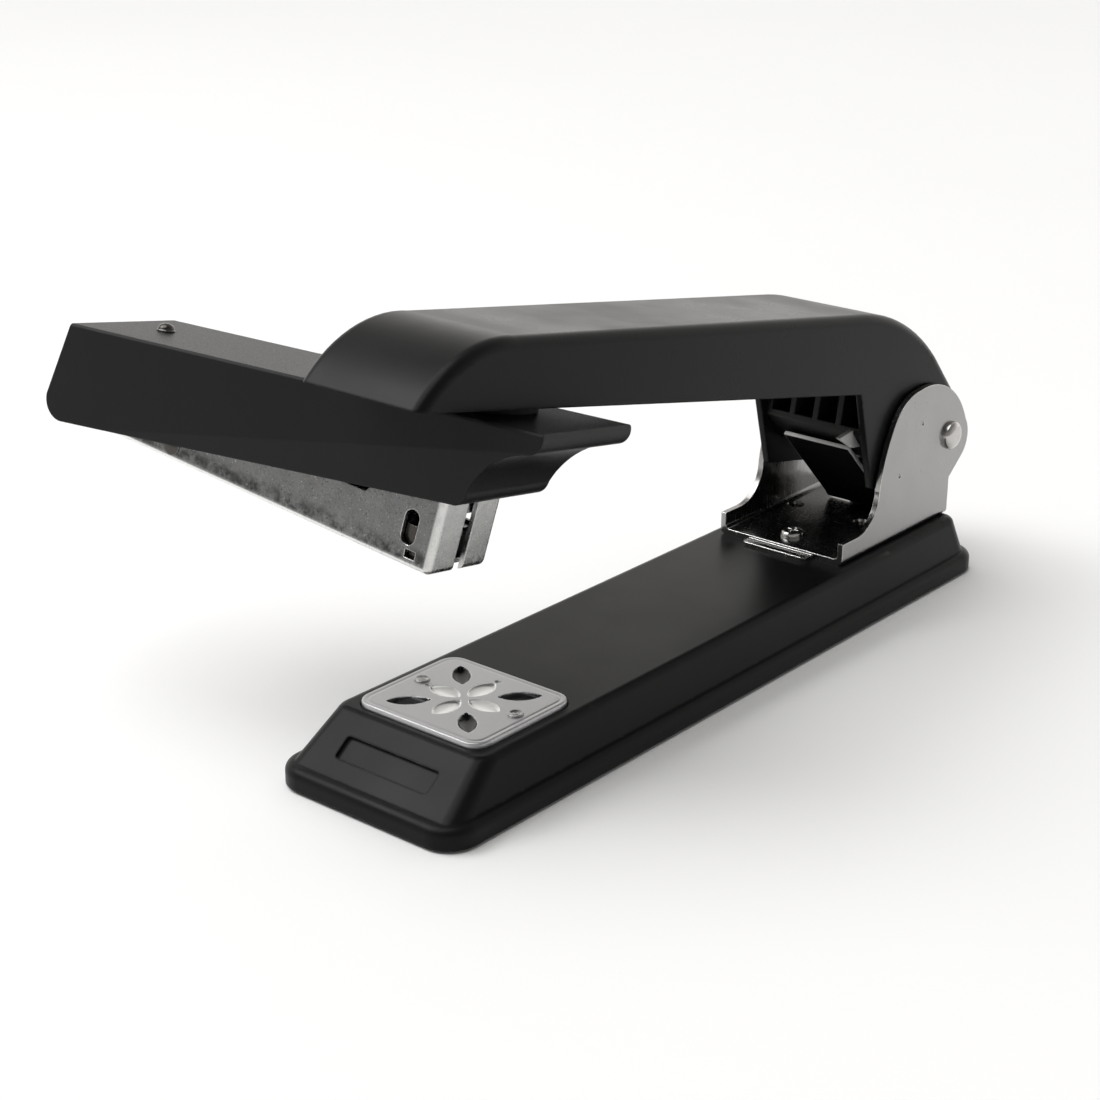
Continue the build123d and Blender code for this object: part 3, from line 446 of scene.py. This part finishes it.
# ------------------------------------------------------------------ anvil
def anvil():
    """Stamped plate: rolled rim, four shallow petals, four deep clinching cavities with painted shade inside,
    punch marks.
    """
    low, high = local_box("anvil_plate", BASE)
    centre, half = (low + high) / 2, (high - low) / 2
    corner, edge_round, step = 3.5, 0.4, 0.15
    rim_groove_at, rim_groove_width, rim_groove_depth = 1.15, 0.22, 0.1
    petal_length, petal_width, petal_at, petal_depth = 6.9, 3.8, 4.6, 0.42
    cavity_length, cavity_width, cavity_at, cavity_depth = 7.8, 3.4, 9.8, 0.85
    punch_marks, punch_radius, punch_depth = ((0, -8.6), (-9.0, 0)), 0.7, 0.3

    def leaf(x, y, angle, at, length, width):
        """Distance from a leaf's midline as a share of its half width, and how far beyond its edge."""
        along = x * math.cos(angle) + y * math.sin(angle) - at
        across = -x * math.sin(angle) + y * math.cos(angle)
        if abs(along) >= length / 2:
            return 2.0, 0.0
        radius = (width ** 2 / 4 + length ** 2 / 4) / width
        reach = math.sqrt(radius ** 2 - along ** 2) - (radius - width / 2)
        return abs(across) / max(reach, 1e-6), abs(across) - reach

    def inside(x, y):
        """How far a point is inside the rounded outline."""
        qx, qy = abs(x) - (half.x - corner), abs(y) - (half.y - corner)
        return corner - math.hypot(max(qx, 0), max(qy, 0)) - min(max(qx, qy), 0)

    def surface(x, y):
        """Height below the rim's top, and which finish shows there."""
        depth = inside(x, y)
        z, zone = 0.0, 0
        if depth < edge_round:
            z -= edge_round - math.sqrt(max(0, edge_round ** 2 - (edge_round - depth) ** 2))
        z -= rim_groove_depth * math.exp(-((depth - rim_groove_at) / rim_groove_width) ** 2)
        for quarter in range(4):
            share, beyond = leaf(x, y, quarter * math.pi / 2, petal_at, petal_length, petal_width)
            if share < 1:
                z, zone = z - petal_depth * (1 - share ** 2) ** 0.8, 1
            elif 0 < beyond < 0.5:
                z += 0.05 * math.exp(-((beyond - 0.15) / 0.12) ** 2)
            diagonal = (quarter + 0.5) * math.pi / 2
            share, beyond = leaf(x, y, diagonal, cavity_at, cavity_length, cavity_width)
            if share < 1:
                # Faces deep in a cavity get the near-black cavity finish, a painted shade.
                z, zone = z - cavity_depth * (1 - share ** 2) ** 0.7, 2 if share < 0.9 else 0
            elif 0 < beyond < 0.5:
                z += 0.07 * math.exp(-((beyond - 0.16) / 0.12) ** 2)
        for mark_x, mark_y in punch_marks:
            reach = math.hypot(x - mark_x, y - mark_y)
            if reach < punch_radius:
                z -= punch_depth * (1 - (reach / punch_radius) ** 2)
        return min(z, 0.0), zone

    rows, columns = round(2 * half.y / step), round(2 * half.x / step)
    vertices, zones = [], []
    for j in range(rows + 1):
        y = half.y * (2 * j / rows - 1)
        bend = max(0.0, abs(y) - (half.y - corner))
        reach = half.x - corner + math.sqrt(max(0.0, corner ** 2 - bend ** 2))
        for i in range(columns + 1):
            x = reach * (2 * i / columns - 1)
            z, zone = surface(x, y)
            vertices.append((centre.x + x, centre.y + y, high.z + z))
            zones.append(zone)
    faces, shades = [], []
    for j in range(rows):
        for i in range(columns):
            a = j * (columns + 1) + i
            faces.append((a, a + 1, a + columns + 2, a + columns + 1))
            shades.append(max(zones[k] for k in faces[-1]))
    outline = list(range(columns + 1))
    outline += [(j + 1) * (columns + 1) - 1 for j in range(1, rows + 1)]
    outline += [rows * (columns + 1) + i for i in range(columns - 1, -1, -1)]
    outline += [j * (columns + 1) for j in range(rows - 1, 0, -1)]
    foot = len(vertices)
    vertices += [(vertices[k][0], vertices[k][1], low.z) for k in outline]
    for k in range(len(outline)):
        m = (k + 1) % len(outline)
        faces.append((outline[m], outline[k], foot + k, foot + m))
    faces.append(tuple(range(foot + len(outline) - 1, foot - 1, -1)))
    plate = piece("anvil_stamping", (vertices, faces), BASE, FINISHES["anvil_nickel"], "anvil_plate")
    plate.data.materials.append(PETAL)
    plate.data.materials.append(CAVITY_SHADE)
    for polygon, shade in zip(plate.data.polygons, shades):
        polygon.material_index = shade
    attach(plate, "base")


def anvil_rivets():
    """Peened rivets: a rolled ring round a sunk centre, on a plain shank."""
    low, high = local_box("anvil_rivets", BASE)
    plate_top = local_box("anvil_plate", BASE)[1].z
    reach, shank = 1.45, 0.85
    profile = [(0, low.z), (shank, low.z), (shank, plate_top + 0.01), (reach, plate_top + 0.01)]
    profile += [(r, plate_top + z) for r, z in arc((reach - 0.2, 0.12), 0.2, 0, 90, 4)]
    profile += [(0.95, plate_top + 0.27), (0.8, plate_top + 0.16), (0.62, plate_top + 0.12)]
    profile += [(0.45, plate_top + 0.2), (0.25, plate_top + 0.14), (0, plate_top + 0.1)]
    x = (low.x + high.x) / 2
    sides = [(low.y + reach + 0.05), (high.y - reach - 0.05)]
    shapes = [moved(lathe(profile, 40), Matrix.Translation((x, y, 0))) for y in sides]
    rivets = piece("anvil_peened_rivets", merged(shapes), BASE, FINISHES["rivet_steel"], "anvil_rivets")
    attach(rivets, "base")


# ------------------------------------------------------------------ pivot and bracket
def pivot_pin():
    """Pin with domed heads and a shallow centre pit."""
    low, high = local_box("pivot_pin", BASE)
    middle = (low + high) / 2
    length, radius = high.y - low.y, (high.z - low.z) / 2
    head, shank, flat, crown = 1.7, 2.0, 0.9, 1.3
    half = [(0, length / 2 - 0.12), (0.45, length / 2 - 0.1), (0.6, length / 2 - 0.02)]
    half += [(flat, length / 2 - 0.01)]
    for i in range(1, 9):
        angle = math.radians(10 * i)
        half.append((flat + (radius - flat) * math.sin(angle), length / 2 - crown * (1 - math.cos(angle))))
    half += [(radius, length / 2 - head), (shank, length / 2 - head)]
    profile = [(r, -h) for r, h in half] + [(r, h) for r, h in reversed(half)]
    turn = Matrix.Translation(middle) @ Matrix.Rotation(math.pi / 2, 4, "X")
    pin = piece("pivot_pin_turned", moved(lathe(profile, 64), turn), BASE, FINISHES["pin_plate"], "pivot_pin")
    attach(pin, "base")


def return_leaf():
    """Black spring leaf from the hinge block down to the bracket's floor, with sheared edges in a pale finish that
    is partly their bare steel and partly a painted highlight.
    """
    low, high = local_box("return_leaf", BASE)
    width, sheet, sheared_rim = high.y - low.y, 0.86, 0.12
    top, slope_run, slope_steps = (-51.0, 33.1), 17.2, 24
    drops = [slope_run * i / slope_steps for i in range(slope_steps + 1)]
    line = [(top[0] - drop, top[1] - drop) for drop in drops]
    curl_centre, curl_radius = (-70.3, 16.1), 1.8
    curl = arc(curl_centre, curl_radius, 316, 215, 10)
    path = [(x, 0, z) for x, z in line + curl]
    section = rounded_section(width, sheet, 0.16, 3)
    shape = sweep(path, section, (0, 1, 0))
    leaf = piece("return_leaf_spring", shape, BASE, FINISHES["black_spring"], "return_leaf")
    leaf.data.materials.append(SHEARED_EDGE_AND_HIGHLIGHT)
    # Side edges and end caps take the pale finish: partly bare sheared steel, partly a painted highlight.
    for polygon in leaf.data.polygons:
        sheared = abs(polygon.center.y) > (width / 2 - sheared_rim) * MM or len(polygon.vertices) > 4
        polygon.material_index = int(sheared)
    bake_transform(leaf)


# ------------------------------------------------------------------ head
def detent_knob():
    """Small domed knob on the head's roof, with a collar."""
    low, high = local_box("detent_knob", HEAD)
    x, radius = (low.x + high.x) / 2, (high.x - low.x) / 2
    roof, shank = high.z - 1.5, 0.88
    profile = [(0, low.z), (shank, low.z), (shank, roof), (radius, roof), (radius, roof + 0.25)]
    profile += [(radius - 0.12, roof + 0.35)]
    profile += dome(radius - 0.15, roof + 0.35, 1.15)
    shape = moved(lathe(profile, 48), Matrix.Translation((x, 0, 0)))
    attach(piece("detent_knob_turned", shape, HEAD, DARK_RIVET, "detent_knob"), "head")


def magazine_spring():
    """Bent strip that pushes the magazine down, riveted under the head's roof."""
    low, high = local_box("magazine_spring", HEAD)
    level = high.z - 0.26
    flat_start, flat_points = -44.9, 10
    path = [(flat_start + i, level) for i in range(flat_points)]
    path += [(-34.0, level - 0.12), (-31.0, level - 0.9), (-28.0, level - 2.45), (-25.0, level - 4.6)]
    path += [(-22.5, level - 6.9), (-20.4, level - 9.2), (-18.6, level - 10.8), (-16.1, level - 11.9)]
    widths = [1.0] * flat_points + [0.98, 0.95, 0.92, 0.88, 0.85, 0.83, 0.82, 0.8]
    section = rounded_section(high.y - low.y, 0.46, 0.12, 2)
    shape = sweep([(x, 0, z) for x, z in path], section, (0, 1, 0), widths)
    spring = piece("magazine_leaf_spring", shape, HEAD, FINISHES["spring_steel"], "magazine_spring")
    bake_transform(spring)


# ------------------------------------------------------------------ magazine
def staples():
    """Glued row of separate wire staples, each a little out of line."""
    low, high = local_box("staple_strip", MAGAZINE)
    wire, pitch, corner, leg = 0.46, 0.52, 0.5, 2.0
    count = int((high.x - low.x) / pitch)
    half = high.y - wire / 2
    top = high.z - wire / 2
    rng = random.Random(7)
    section = rounded_section(wire * 1.04, wire, 0.13, 2)
    shapes = []
    for i in range(count):
        x = low.x + (i + 0.5) * pitch
        drop = rng.uniform(0.0, 0.03)
        path = [(x, -half, low.z + rng.uniform(0, 0.05)), (x, -half, top - leg)]
        path += [(x, y, z - drop) for y, z in arc((-half + corner, top - corner), corner, 180, 90, 4)]
        path += [(x, y, z - drop) for y, z in arc((half - corner, top - corner), corner, 90, 0, 4)]
        path += [(x, half, top - leg), (x, half, low.z + rng.uniform(0, 0.05))]
        shapes.append(sweep(path, section, (1, 0, 0)))
    strip = piece("staple_row", merged(shapes), MAGAZINE, FINISHES["staple_wire"], "staple_strip", 60)
    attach(strip, "magazine")


def pusher_spring():
    """Coil on the guide rod, with closed ends and open working turns."""
    low, high = local_box("pusher_spring", MAGAZINE)
    middle = (low + high) / 2
    wire, turns, closed = 0.36, 17, 1.6
    radius = (high.y - low.y) / 2 - wire / 2
    start, end = low.x + wire / 2, high.x - wire / 2
    working = end - start - 2 * closed * wire
    points, steps = [], turns * 20
    for i in range(steps + 1):
        turn = turns * i / steps
        if turn < closed:
            x = start + turn * wire
        elif turn > turns - closed:
            x = end - (turns - turn) * wire
        else:
            x = start + closed * wire + working * (turn - closed) / (turns - 2 * closed)
        angle = 2 * math.pi * turn
        points.append(Vector((x, middle.y + radius * math.cos(angle), middle.z + radius * math.sin(angle))))
    section = [(wire / 2 * math.cos(a), wire / 2 * math.sin(a)) for a in (k * math.pi / 4 for k in range(8))]
    coil = piece("pusher_coil", sweep(points, section, (1, 0, 0)), MAGAZINE, FINISHES["spring_steel"],
                 "pusher_spring", 80)
    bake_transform(coil)


def rail_rivets():
    """Domed rivet heads on the magazine's walls, on plain shanks."""
    low, high = local_box("rail_rivets", MAGAZINE)
    x, z = (low.x + high.x) / 2, (low.z + high.z) / 2
    radius, proud = (high.x - low.x) / 2, 0.6
    shank_radius, shank_end = 1.18, -3.5
    profile = [(0, shank_end), (shank_radius, shank_end), (shank_radius, 0), (radius, 0), (radius, 0.12)]
    profile += dome(radius - 0.06, 0.15, proud - 0.17)
    shapes = []
    for s in (-1, 1):
        place = Matrix.Translation((x, s * (high.y - proud), z)) @ Matrix.Rotation(-s * math.pi / 2, 4, "X")
        shapes.append(moved(lathe(profile, 40), place))
    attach(piece("rail_domed_rivets", merged(shapes), MAGAZINE, DARK_RIVET, "rail_rivets"), "magazine")


finish_nodes()
anvil()
anvil_rivets()
pivot_pin()
return_leaf()
detent_knob()
magazine_spring()
staples()
pusher_spring()
rail_rivets()


# ------------------------------------------------------------------ stage, light and camera
def floor():
    """Wide pale floor with a barely visible tone variation."""
    size = 6.0
    mesh = bpy.data.meshes.new("floor")
    corners = [(-size, -size, 0), (size, -size, 0), (size, size, 0), (-size, size, 0)]
    mesh.from_pydata(corners, [], [(0, 1, 2, 3)])
    obj = bpy.data.objects.new("floor", mesh)
    bpy.context.scene.collection.objects.link(obj)
    f = Finish("pale_floor", specular=0.1)
    f.color(f.mixed(f.noise(3, 2), (0.86, 0.86, 0.86), (0.9, 0.9, 0.9)))
    f.roughness(f.ranged(f.noise(6, 2), 0.3, 0.7, 0.75, 0.85))
    mesh.materials.append(f.material)


def softbox(name, place, aim, width, height, power):
    """Rectangular soft light aimed at a point."""
    light = bpy.data.lights.new(name, "AREA")
    light.shape = "RECTANGLE"
    light.size, light.size_y = width, height
    light.energy = power
    obj = bpy.data.objects.new(name, light)
    obj.location = place
    obj.rotation_euler = (Vector(aim) - Vector(place)).to_track_quat("-Z", "Y").to_euler()
    bpy.context.scene.collection.objects.link(obj)


def sunlight(name, towards, strength, angle):
    """Even, very soft light from one side of the sky."""
    light = bpy.data.lights.new(name, "SUN")
    light.energy = strength
    light.angle = math.radians(angle)
    obj = bpy.data.objects.new(name, light)
    obj.rotation_euler = Vector(towards).to_track_quat("-Z", "Y").to_euler()
    bpy.context.scene.collection.objects.link(obj)


def studio():
    """Pale surround, brightest along the horizon behind the object and dim behind the camera."""
    world = bpy.data.worlds.new("studio")
    bpy.context.scene.world = world
    world.use_nodes = True
    nodes, links = world.node_tree.nodes, world.node_tree.links
    coordinates = nodes.new("ShaderNodeTexCoord").outputs["Generated"]

    def band(direction, low, high, levels):
        """Brightness that depends on how far the view leans towards a direction."""
        dot = nodes.new("ShaderNodeVectorMath")
        dot.operation = "DOT_PRODUCT"
        dot.inputs[1].default_value = direction
        links.new(coordinates, dot.inputs[0])
        lean = nodes.new("ShaderNodeMapRange")
        lean.inputs["From Min"].default_value = low
        lean.inputs["From Max"].default_value = high
        links.new(dot.outputs["Value"], lean.inputs["Value"])
        ramp = nodes.new("ShaderNodeValToRGB")
        ramp.color_ramp.interpolation = "EASE"
        while len(ramp.color_ramp.elements) < len(levels):
            ramp.color_ramp.elements.new(0.5)
        for element, (at, level) in zip(ramp.color_ramp.elements, levels):
            element.position = at
            element.color = (level, level * 0.99, level * 0.975, 1)
        links.new(lean.outputs["Result"], ramp.inputs["Fac"])
        return ramp.outputs["Color"]

    height = band((0, 0, 1), -1, 1, ((0.0, 0.6), (0.5, 1.0), (0.68, 0.74), (0.8, 0.42), (1.0, 0.4)))
    backdrop = band((-0.768, -0.64, 0.0), -1, 1, ((0.0, 0.3), (0.45, 0.5), (0.8, 1.0)))
    both = nodes.new("ShaderNodeMix")
    both.data_type = "RGBA"
    both.blend_type = "MULTIPLY"
    both.inputs["Factor"].default_value = 1.0
    links.new(height, both.inputs[6])
    links.new(backdrop, both.inputs[7])
    links.new(both.outputs[2], nodes["Background"].inputs["Color"])
    nodes["Background"].inputs["Strength"].default_value = 1.35
    sunlight("overhead", (-0.25, 0.3, -1.0), 2.0, 60)
    softbox("slope_glow", (0.42, -0.6, 0.72), (0.06, 0, 0.01), 0.5, 0.5, 2.6)


def camera():
    """The viewing angle: from the front left, a little above."""
    place = Vector((0.31717, 0.23477, 0.17788))
    aim = Vector((0.018732, -0.013842, 0.025864))
    roll = math.radians(0.266)
    data = bpy.data.cameras.new("camera")
    data.sensor_width = 36
    data.lens = 71.904
    data.clip_start = 0.01
    obj = bpy.data.objects.new("camera", data)
    obj.location = place
    turn = (aim - place).to_track_quat("-Z", "Y").to_matrix() @ Matrix.Rotation(roll, 3, "Z")
    obj.rotation_euler = turn.to_euler()
    bpy.context.scene.collection.objects.link(obj)
    bpy.context.scene.camera = obj


floor()
studio()
camera()
bpy.context.scene.view_settings.view_transform = "Standard"
